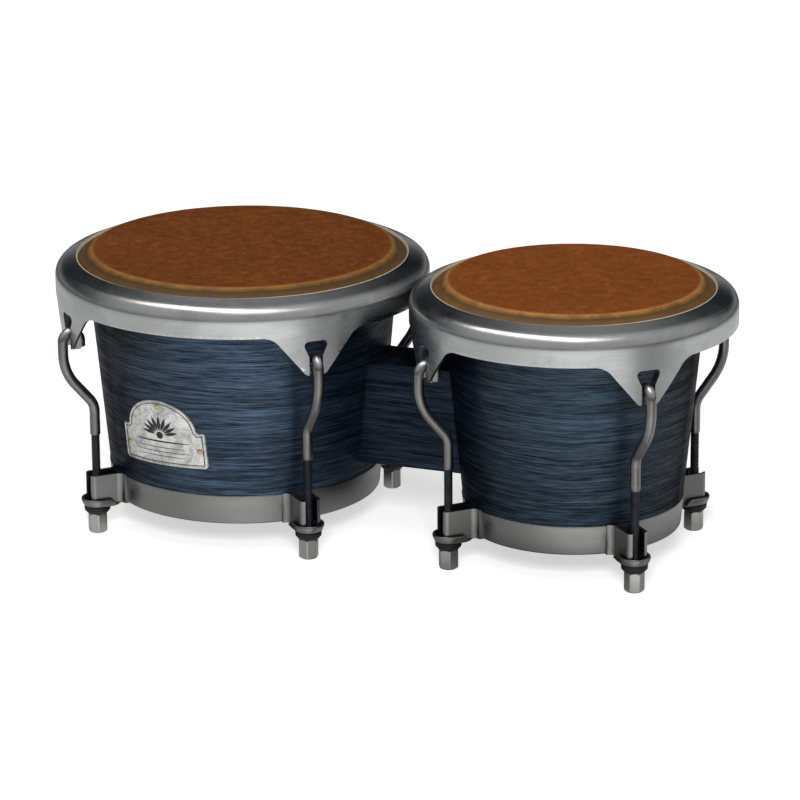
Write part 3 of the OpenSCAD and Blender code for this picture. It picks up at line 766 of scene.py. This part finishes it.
def hook_path(drum):
    """Points (distance out, height, direction angle) along the middle of a hook."""
    bends = STEP_BEND + STEP_SWEEP
    straight = (ROD_STEP - bends * (1 - math.cos(STEP_ANGLE))) / math.sin(STEP_ANGLE)
    step_high = STEP_LOW + bends * math.sin(STEP_ANGLE) + straight * math.cos(STEP_ANGLE)
    spacing = THREAD_PITCH / 6
    steps = round((THREAD_TOP + 1 * MM - drum.hook_z) / spacing)
    path = [(drum.rod_in, drum.hook_z + i * spacing, 0.0) for i in range(steps)]
    path += line(path[-1], (drum.rod_in, STEP_LOW, 0.0), 4)
    for i in range(1, 13):
        turn = STEP_ANGLE * i / 12
        path.append((drum.rod_in + STEP_BEND * (1 - math.cos(turn)),
            STEP_LOW + STEP_BEND * math.sin(turn), turn))
    for i in range(13):
        turn = STEP_ANGLE * (1 - i / 12)
        path.append((drum.rod_out - STEP_SWEEP * (1 - math.cos(turn)),
            step_high - STEP_SWEEP * math.sin(turn), turn))
    path += line(path[-1], (drum.rod_out, drum.crook_z, 0.0), 3)
    for i in range(1, 29):
        turn = math.pi * i / 28
        path.append((drum.rod_out - CROOK_R * (1 - math.cos(turn)),
            drum.crook_z + CROOK_R * math.sin(turn), -turn))
    return path + line(path[-1], (path[-1][0], drum.tab_z + 0.3 * MM, -math.pi), 3)


def hook_radius(height, turn, foot):
    """Radius of the rod, with a helical ridge on its threaded foot."""
    wave = (height / THREAD_PITCH - turn / TAU) % 1.0
    ridge = THREAD_R - THREAD_DEPTH * abs(2 * wave - 1)
    ridge = min(ridge, THREAD_R - 0.9 * MM + (height - foot) * 0.9)
    blend = min(max((height - THREAD_TOP) / (0.6 * MM), 0.0), 1.0)
    return ridge + (ROD_R - ridge) * blend


def build_hook(drum, index, material):
    turns = circle(24)
    rings = []
    for out, height, lean in hook_path(drum):
        ring = []
        threaded = lean == 0.0 and height < THREAD_TOP + 1.5 * MM and out == drum.rod_in
        for turn in turns:
            radius = hook_radius(height, turn, drum.hook_z) if threaded else ROD_R
            side = radius * math.cos(turn)
            ring.append(drum.lug(index, out + side * math.cos(lean), radius * math.sin(turn),
                height - side * math.sin(lean)))
        rings.append(ring)
    centre = sum(rings[-1], Vector()) / len(turns)
    for share, drop in ((0.86, 0.35 * MM), (0.62, 0.55 * MM)):
        rings.append([centre + (p - centre) * share - Vector((0, 0, drop)) for p in rings[-1]])
    name = f"{drum.name}_hook_{index + 1}"
    make_piece(name + "_rod", name, "hook_steel", [skin_rings(rings, caps=True)], material,
        body=drum.name + "_rim_set", crease=50)


# ---- nuts, collars, cups and brackets ----

def build_nut(drum, index, material, turn_by):
    """A long hex nut with turned ends and an open bore."""
    flat = NUT_AF / 2
    corner = flat / math.cos(math.pi / 6)
    top = drum.nut_top
    low_levels = [z * MM for z in (0.0, 0.15, 0.35, 0.6, 0.9, 1.2, 1.5, 1.9, 2.4)]
    high_levels = [top - z * MM for z in (1.2, 0.8, 0.45, 0.2, 0.0)]

    def outer(turn, z):
        face = flat / math.cos((turn % (TAU / 6)) - TAU / 12)
        foot = corner - 1.9 * MM + 1.25 * z
        head = corner - 0.9 * MM + 1.1 * (top - z)
        return min(face, corner - 0.18 * MM, foot, head)

    def ring(z, radius_at):
        return drum.rod_ring(index, z, 120, radius_at, turn_by)

    rings = [ring(z, lambda turn, z=z: outer(turn, z))
        for z in low_levels + [top / 2] + high_levels]
    rings += [ring(z, lambda turn, r=r: r) for z, r in
        ((top, BORE_R), (1.1 * MM, BORE_R), (0.0, BORE_R + 1.0 * MM))]
    name = f"{drum.name}_nut_{index + 1}"
    make_piece(name + "_hex", name, "nut_steel", [skin_rings(rings, loop=True)], material,
        body=name, crease=28)


def build_collars(drum, material):
    """Black collars between the nuts and the cup washers."""
    low, high = drum.nut_top + 0.02 * MM, drum.cup_z - 0.02 * MM
    bore = BORE_R / MM + 0.1
    profile = ((bore, 0.0), (6.9, 0.0), (7.4, 0.05), (7.9, 0.16), (8.5, 0.30), (9.1, 0.40),
        (9.3, 0.46), (9.0, 0.52), (9.0, 0.57), (9.35, 0.63), (9.4, 0.72), (9.4, 0.90),
        (9.2, 0.97), (8.8, 1.0), (bore, 1.0))
    shapes = []
    for index in range(len(LUGS)):
        rings = [drum.rod_ring(index, low + (high - low) * share, 72, lambda turn, r=r: r * MM)
            for r, share in profile]
        shapes.append(skin_rings(rings, loop=True))
    make_piece(drum.name + "_collar_set", drum.name + "_nut_collars", "black_rubber", shapes,
        material, crease=50)


def cup_ring(drum, index, inset, height_at):
    """One closed ring of a cup: two half rounds joined by straight sides."""
    radius = CUP_R - inset
    keep_out = drum.shell_r(drum.ring_z) + RING_PROUD + 0.25 * MM
    ring = []
    for turn in circle(96):
        along, across = math.cos(turn), math.sin(turn)
        shift = 0.0 if along >= 0 else -CUP_BACK * min(1.0, -along * 6)
        out = drum.rod_in + radius * along + shift
        wide = radius * across
        nearest = math.sqrt(max(keep_out ** 2 - wide ** 2, 0.0))
        front = min(max((out - (drum.rod_in - 11 * MM)) / (2.5 * MM), 0.0), 1.0)
        ring.append(drum.lug(index, max(out, nearest), wide, height_at(front)))
    return ring


def build_cups(drum, material):
    """Dished washers whose lip stands up at the front of each bracket."""
    base = drum.ring_z + 0.2 * MM
    low, lip = drum.cup_z, drum.cup_top
    floor = base - 0.1 * MM
    inner = CUP_T / MM

    def level(height):
        return lambda front: height

    def rising(height):
        return lambda front: floor + (height - floor) * front * front * (3 - 2 * front)

    rows = ((7.6, level(low)), (2.6, level(low)), (1.9, level(low + 0.25 * MM)),
        (1.3, level(low + 0.9 * MM)), (0.35, rising(base + 1.2 * MM)),
        (0.0, rising(base + 2.4 * MM)), (0.0, rising(lip - 0.7 * MM)),
        (0.25, rising(lip - 0.2 * MM)), (0.7, rising(lip)), (1.3, rising(lip)),
        (1.75, rising(lip - 0.25 * MM)), (inner, rising(lip - 0.8 * MM)),
        (inner + 0.1, level(floor)), (7.6, level(floor)))
    shapes = []
    for index in range(len(LUGS)):
        rings = [cup_ring(drum, index, inset * MM, height) for inset, height in rows]
        shapes.append(skin_rings(rings, loop=True))
    make_piece(drum.name + "_cup_set", drum.name + "_cup_washers", "cup_steel", shapes,
        material, crease=50)


def bracket_plan(drum, side, z):
    """Outline of one cheek in plan at a height, from the ring to the slot's edge."""
    half = BRACKET_W / 2
    front = drum.rod_in + BRACKET_FRONT
    root = drum.shell_r(z) + RING_PROUD - 0.4 * MM
    slot = BRACKET_SLOT / 2
    bend = (front - BRACKET_CORNER, half - BRACKET_CORNER)
    plan = [(root - 1.2 * MM, half + BRACKET_FLARE)]
    plan += arc(drum.ring_r + BRACKET_FLARE, half + BRACKET_FLARE, BRACKET_FLARE, 180, 270, 7)
    plan += arc(*bend, BRACKET_CORNER, 90, 0, 6)
    plan += [(front, slot), (front - BRACKET_T, slot)]
    plan += arc(*bend, BRACKET_CORNER - BRACKET_T, 0, 90, 4)
    plan += [(root - 0.4 * MM, half - BRACKET_T)]
    return [(out, side * across) for out, across in plan]


def bracket_back(drum, z):
    """Outline of the plate between the cheeks, against the ring."""
    wide = BRACKET_W / 2 - BRACKET_T + 0.2 * MM
    back = drum.shell_r(z) + RING_PROUD
    return [(back - 0.6 * MM, -wide), (back + BRACKET_T, -wide), (back + BRACKET_T, wide),
        (back - 0.6 * MM, wide)]


def build_bracket(drum, index, material):
    """Two bent cheeks on a back plate, open at the front."""
    outlines = (lambda z: bracket_plan(drum, -1, z), lambda z: bracket_plan(drum, 1, z),
        lambda z: bracket_back(drum, z))
    shapes = [skin_rings([drum.lug_outline(index, outline(z), z)
                    for z in (drum.bracket_z, drum.bracket_top)], caps=True)
        for outline in outlines]
    name = f"{drum.name}_lug_bracket_{index + 1}"
    make_piece(name + "_bent", name, "ring_steel", shapes, material, edge=0.35 * MM, crease=40)


def build_ring(drum, material):
    """Bottom ring with a rolled lower edge and a flange under the shell."""
    low = drum.shell_r(drum.ring_z) + RING_PROUD
    high = drum.shell_r(drum.ring_top) + RING_PROUD
    floor = drum.ring_z + RING_T - 0.03 * MM
    inner = low - RING_FLANGE
    profile = rounded([(inner, drum.ring_z, 0.5 * MM), (low, drum.ring_z, 1.4 * MM),
        (high, drum.ring_top, 0.7 * MM),
        (high - RING_T + 0.05 * MM, drum.ring_top, 0.5 * MM),
        (low - RING_T, floor, 0.6 * MM), (inner, floor, 0.5 * MM)])
    rings = [[drum.at(angle, radius, z) for angle in circle(256)] for radius, z in profile]
    name = drum.name + "_bottom_ring"
    make_piece(name + "_rolled", name, "ring_steel", [skin_rings(rings, loop=True)], material)


# ---- centre block ----

def build_block(large, small, material):
    """Block with eased edges whose ends are scribed to both shells."""
    low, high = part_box("centre_block")
    half = (high.y - low.y) / 2
    ease = 1.6 * MM
    section = rounded([(-half, low.z, ease), (half, low.z, ease), (half, high.z, ease),
        (-half, high.z, ease)], 5)
    dense = []
    for i, (y, z) in enumerate(section):
        ny, nz = section[(i + 1) % len(section)]
        cuts = max(1, round(math.hypot(ny - y, nz - z) / (4 * MM)))
        dense += [(y + (ny - y) * k / cuts, z + (nz - z) * k / cuts) for k in range(cuts)]
    gap = 0.05 * MM
    steps = 8
    rings = []
    for j in range(steps + 1):
        ring = []
        for y, z in dense:
            start = large.x + math.sqrt((large.shell_r(z) + gap) ** 2 - y * y)
            end = small.x - math.sqrt((small.shell_r(z) + gap) ** 2 - y * y)
            ring.append(Vector((start + (end - start) * j / steps, y, z)))
        rings.append(ring)
    make_piece("centre_block_eased", "centre_block", "stained_wood",
        [skin_rings(rings, caps=True)], material, crease=40)


# ---- badge ----

def badge_place(drum, across, up, lift):
    """A point of the flat badge drawing, carried onto the shell's cone."""
    side = across * math.cos(BADGE_TILT) - up * math.sin(BADGE_TILT)
    z = BADGE_Z + across * math.sin(BADGE_TILT) + up * math.cos(BADGE_TILT)
    radius = drum.shell_r(z) + lift
    out = math.sqrt(radius * radius - side * side)
    return Vector((drum.x + out * math.cos(BADGE_TURN) - side * math.sin(BADGE_TURN),
        drum.y + out * math.sin(BADGE_TURN) + side * math.cos(BADGE_TURN), z))


def badge_outline():
    """Rounded plate with an arch on top, across and up from the lower edge's middle."""
    corner, shoulder = 3.0 * MM, 1.5 * MM
    right = [(0, 0)] + line((0, 0), (BADGE_HALF, 0), 8)[:6]
    right += arc(BADGE_HALF - corner, corner, corner, -90, 0, 6)
    right += line((BADGE_HALF, corner), (BADGE_HALF, BADGE_H - shoulder), 4)
    right += arc(BADGE_HALF - shoulder, BADGE_H - shoulder, shoulder, 0, 90, 4)[1:]
    right += [(ARCH_W + 1.2 * MM, BADGE_H)]
    arch = [math.radians(angle) for angle in range(3, 90, 6)]
    right += [(ARCH_W * math.cos(a), BADGE_H + ARCH_H * math.sin(a)) for a in arch]
    return right + [(-x, y) for x, y in reversed(right) if x > 0]


def oval(x, y, wide, high, count):
    """Points of an oval from its middle and its two half sizes."""
    return [(x + wide * math.cos(turn), y + high * math.sin(turn)) for turn in circle(count)]


def shrink(outline, amount):
    """The outline moved inwards by an amount."""
    out = []
    for i, point in enumerate(outline):
        here = Vector(point)
        before = (here - Vector(outline[i - 1])).normalized()
        after = (Vector(outline[(i + 1) % len(outline)]) - here).normalized()
        normal = Vector((-(before.y + after.y), before.x + after.x)).normalized()
        slant = max(0.5, normal.dot(Vector((-before.y, before.x))))
        out.append(tuple(here + normal * (amount / slant)))
    return out


def badge_strip(drum, outline, profile):
    """A closed strip along the outline; profile pairs are (distance in, lift) from the face."""
    rings = [[badge_place(drum, x, y, BADGE_T + lift * MM)
        for x, y in shrink(outline, inset * MM)] for inset, lift in profile]
    return skin_rings(rings, loop=True)


def badge_patch(drum, outline, low, high, step=3.0 * MM):
    """A flat patch on the badge with its own thickness."""
    return solid_sheet(*fill_outline(outline, step, step, step * 0.4),
        lambda p, depth: badge_place(drum, *p, high - depth), high - low)


def ray(angle, near, far, width, base):
    """A pointed leaf that stands on the badge's baseline and leans out."""
    c, s = math.cos(angle), math.sin(angle)
    leaf = []
    for share, half in ((0.0, 0.10), (0.15, 0.55), (0.4, 1.0), (0.65, 0.8), (0.85, 0.4)):
        leaf.append((near + (far - near) * share, half * width))
    side = leaf + [(far, 0.0)] + [(r, -w) for r, w in reversed(leaf)]
    return [(r * c - w * s, base + (r * s + w * c) * 0.80) for r, w in side]


def build_badge(drum, face, ink, grey):
    """Plate with a raised border, a dark inner line and a plain fan ornament."""
    outline = badge_outline()
    bead = ((0.15, -0.1), (0.2, 0.3), (0.55, 0.5), (1.15, 0.5), (1.5, 0.3), (1.55, -0.1))
    dark = ((2.0, -0.1), (2.0, 0.1), (2.6, 0.1), (2.6, -0.1))
    shapes = [badge_patch(drum, outline, 0.05 * MM, BADGE_T), badge_strip(drum, outline, bead),
        badge_strip(drum, outline, dark) + (1,)]
    base = BADGE_H - 4.0 * MM

    def print_on(flat, step, paint):
        low, high = BADGE_T - 0.05 * MM, BADGE_T + 0.14 * MM
        shapes.append(badge_patch(drum, flat, low, high, step) + (paint,))

    for k in range(-4, 5):
        far = (18.0 - 0.14 * k * k) * MM
        print_on(ray(math.radians(90 - 19 * k), 4.6 * MM, far, 1.5 * MM, base), 1.2 * MM, 1)
    print_on(oval(0, base, 2.9 * MM, 2.6 * MM, 24), 1.2 * MM, 1)
    for up, half, thick, paint in ((-4.6, 23, 0.55, 1), (-9.2, 20, 0.3, 2),
            (-12.4, 24, 0.3, 2), (-15.6, 20, 0.3, 2)):
        print_on(oval(0, base + up * MM, half * MM, thick * MM, 28), 2 * MM, paint)
    make_piece("badge_plate_raised", "badge_plate", "badge_metal", shapes, face, ink, grey,
        crease=40)


def build_nails(drum, material):
    """Three domed nail heads, one in the arch and one at each side."""
    side = 0.862 * BADGE_HALF
    dome = ((1.5, 0.0), (1.8, 0.1), (1.75, 0.3), (1.45, 0.6), (0.95, 0.8), (0.4, 0.9))
    shapes = []
    for across, up in ((0, BADGE_H + ARCH_H - 4.6 * MM), (-side, BADGE_H / 2),
            (side, BADGE_H / 2)):
        rings = [[badge_place(drum, x, y, BADGE_T + lift * MM)
             for x, y in oval(across, up, radius * MM, radius * MM, 28)]
            for radius, lift in dome]
        shapes.append(skin_rings(rings, caps=True))
    make_piece("badge_nail_heads", "badge_nails", "brass", shapes, material, crease=60)


# ---- put it together ----

large, small = Drum("hembra"), Drum("macho")
DRUMS = (large, small)

SHELL_WOOD = {
    "hembra": stained_wood("stained_wood_hembra", shade=0.55, gloss=1.0),
    "macho": stained_wood("stained_wood_macho", 0.5, 0.66, tint=(0.48, 0.72, 0.94, 1)),
}
# Painted shade: the centre block is the shells' stained wood made far darker and less glossy, as
# it sits in shade between the drums.
block_wood_painted_shade = stained_wood("stained_wood_block", shade=0.25, gloss=0.4)
plain_steel = brushed("zinc_steel", (0.50, 0.50, 0.50))
nut_steel = brushed("nut_steel", (0.47, 0.466, 0.455), rough=0.24)
cup_steel = brushed("cup_steel", (0.235, 0.232, 0.224), rough=0.30)
rod_steel = satin_rod("hook_steel")
black = rubber("black_rubber")
badge_metal = badge_face("badge_metal")
badge_dark = speckled("badge_line", 400, 3, rgb(14, 14, 18), rgb(32, 32, 38), (0.35, 0.5))
badge_grey = speckled("badge_rule", 400, 3, rgb(92, 94, 92), rgb(122, 124, 120), (0.35, 0.5))
nail_brass = speckled("nail_brass", 500, 4, (0.42, 0.25, 0.09, 1), (0.74, 0.55, 0.27, 1),
    (0.25, 0.4), metal=1.0)

HEAD_SHADES = {"hembra": 1.0, "macho": 1.35}
NUT_TURNS = {"hembra": (0.30, 0.47, 0.10, 0.60), "macho": (0.26, 0.12, 0.85, 0.40)}


def paint_node(name, material):
    """Gives a part that keeps its own mesh a material."""
    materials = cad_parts[name].data.materials
    materials.clear()
    materials.append(material)


for drum in DRUMS:
    axis = (drum.x, drum.y)
    paint_node(drum.name + "_shell", SHELL_WOOD[drum.name])
    for hidden in ("_flesh_hoop", "_block_bolts", "_bolt_washers"):
        paint_node(drum.name + hidden, plain_steel)
    build_head(drum, hide(drum.name + "_hide", axis, drum.head_r, HEAD_SHADES[drum.name]))
    rim_steel = brushed(drum.name + "_rim_steel", (0.45, 0.452, 0.455), axis, rough=0.30,
        streak=0.3, aniso=0.3, lip_r=drum.lip_r)
    ring_steel = brushed(drum.name + "_ring_steel", (0.25, 0.25, 0.248), axis, rough=0.32,
        aniso=0.3)
    build_rim(drum, rim_steel)
    build_ring(drum, ring_steel)
    for index in range(len(LUGS)):
        build_hook(drum, index, rod_steel)
        build_nut(drum, index, nut_steel, NUT_TURNS[drum.name][index])
        build_bracket(drum, index, ring_steel)
    build_collars(drum, black)
    build_cups(drum, cup_steel)

build_block(large, small, block_wood_painted_shade)
build_badge(large, badge_metal, badge_dark, badge_grey)
build_nails(large, nail_brass)


# ---- stage, lights and camera ----

# How bright the floor's painted reflection shines in the steel, by the angle in degrees from the
# camera's own direction, and how far past each ring the painted shadow under a drum reaches.
FLOOR_GLOW = ((-180, 0.65), (-120, 0.85), (-85, 0.95), (-55, 1.0), (-25, 1.45), (0, 1.85),
    (32, 1.85), (42, 0.5), (58, 0.5), (78, 1.15), (110, 1.1), (180, 0.65))
UNDER_DRUM_PAINTED_SHADOW = {"hembra": 10 * MM, "macho": 60 * MM}


def floor_paint():
    """White paper that glows for the camera and, as a painted reflection patterned by direction,
    in the steel, with a painted shadow under each drum.
    """
    s = Shader("floor_paint")
    cloud = s.noise(s.place(), 2.0, 3, 0.5)
    rays = s.add("ShaderNodeLightPath").outputs
    seen = s.mix(rays["Is Diffuse Ray"], s.ramp(cloud, [(0.3, 0.90), (0.7, 0.93)]),
        (0.22, 0.22, 0.22, 1))
    seen = s.mix(rays["Is Glossy Ray"], seen, (0, 0, 0, 1))
    look = s.add("ShaderNodeNewGeometry").outputs["Incoming"]
    turn = s.math("ARCTAN2", s.vector("DOT_PRODUCT", look, CAMERA_LEFT),
        s.vector("DOT_PRODUCT", look, CAMERA_AHEAD))
    around = s.ramp(s.range(turn, -math.pi, math.pi, 0.0, 1.0),
        [((degrees + 180) / 360, level) for degrees, level in FLOOR_GLOW])
    steep = s.range(s.axis(look, 2), 0.10, 0.30, 0.01, 1.0)
    glow = s.times(s.times(around, steep), rays["Is Glossy Ray"])
    # Painted shadow: the glow seen in the steel fades near and under each drum.
    for drum in DRUMS:
        under = s.about((drum.x, drum.y))[1]
        foot = drum.ring_r
        glow = s.times(glow, s.range(under, foot - 20 * MM, foot + UNDER_DRUM_PAINTED_SHADOW[drum.name],
            0.08, 1.0))
        glow = s.times(glow, s.range(under, foot, foot + 220 * MM, 0.6, 1.0))
    paper = s.range(s.vector("LENGTH", s.place()), 0.8, 3.5, 0.60, 0.92)
    glow = s.math("ADD", glow, s.times(rays["Is Camera Ray"], paper))
    return s.finish(Base_Color=seen, Roughness=0.9, Specular_IOR_Level=0.0,
        Emission_Color=(1, 1, 1, 1), Emission_Strength=glow)


def build_floor():
    half = 6.0
    mesh = bpy.data.meshes.new("floor")
    mesh.from_pydata([(-half, -half, 0), (half, -half, 0), (half, half, 0), (-half, half, 0)],
        [], [(0, 1, 2, 3)])
    mesh.materials.append(floor_paint())
    floor = bpy.data.objects.new("floor", mesh)
    bpy.context.scene.collection.objects.link(floor)


def add_light(name, place, width, power, colour=(1, 1, 1), shines=True):
    """A lamp that points at the drums."""
    data = bpy.data.lights.new(name, "AREA")
    data.shape = "RECTANGLE"
    data.size, data.size_y = width, 0.8
    data.energy = power
    data.color = colour
    light = bpy.data.objects.new(name, data)
    light.location = place
    aim = Vector((0, 0, 0.1)) - Vector(place)
    light.rotation_euler = aim.to_track_quat("-Z", "Y").to_euler()
    light.visible_camera = False
    light.visible_glossy = shines
    bpy.context.scene.collection.objects.link(light)


def build_world():
    """White to the camera, a dim studio with a dark back wall to everything else."""
    s = Shader("studio", bpy.data.worlds)
    bpy.context.scene.world = s.owner
    rays = s.add("ShaderNodeLightPath").outputs
    look = s.add("ShaderNodeTexCoord").outputs["Generated"]
    behind = s.vector("DOT_PRODUCT", look, (-0.50, 0.85, -0.5))
    fade = s.add("ShaderNodeMapRange", {0: behind, 1: -0.32, 2: 0.44, 3: 0.0, 4: 1.0},
        interpolation_type="SMOOTHSTEP").outputs[0]
    wall = s.mix(fade, (0.56, 0.56, 0.56, 1), (0.008, 0.013, 0.020, 1))
    low_band = s.range(s.axis(look, 2), 0.02, 0.20, 1.0, 0.0)
    wall = s.mix(low_band, wall, (0.44, 0.44, 0.44, 1))
    level = s.mix(rays["Is Diffuse Ray"], wall, (0.13, 0.13, 0.13, 1))
    lit = s.add("ShaderNodeBackground", {0: level, 1: 1.0}).outputs[0]
    white = s.add("ShaderNodeBackground", {0: (1, 1, 1, 1), 1: 0.95}).outputs[0]
    both = s.add("ShaderNodeMixShader", {0: rays["Is Camera Ray"], 1: lit, 2: white})
    s.add("ShaderNodeOutputWorld", {0: both.outputs[0]})


def build_camera():
    """The camera looks down on the drums from the right of their front."""
    low, high = CAD_BOX
    target = (low + high) / 2 + Vector(CAMERA_AIM)
    back = Vector((math.sin(CAMERA_TURN) * math.cos(CAMERA_RISE),
        -math.cos(CAMERA_TURN) * math.cos(CAMERA_RISE), math.sin(CAMERA_RISE)))
    data = bpy.data.cameras.new("camera")
    data.sensor_width = 36
    data.lens = CAMERA_LENS
    camera = bpy.data.objects.new("camera", data)
    camera.location = target + back * CAMERA_FAR
    aim = (-back).to_track_quat("-Z", "Y").to_matrix().to_4x4()
    camera.rotation_euler = (aim @ Matrix.Rotation(CAMERA_ROLL, 4, "Z")).to_euler()
    bpy.context.scene.collection.objects.link(camera)
    bpy.context.scene.camera = camera


build_floor()
build_world()
build_camera()
add_light("overhead", (-0.2, -0.35, 2.0), width=2.4, power=18, colour=(1.0, 0.985, 0.94))
add_light("key", (0.85, -2.2, 1.55), width=0.8, power=46, shines=False)
bpy.context.scene.view_settings.view_transform = "Standard"
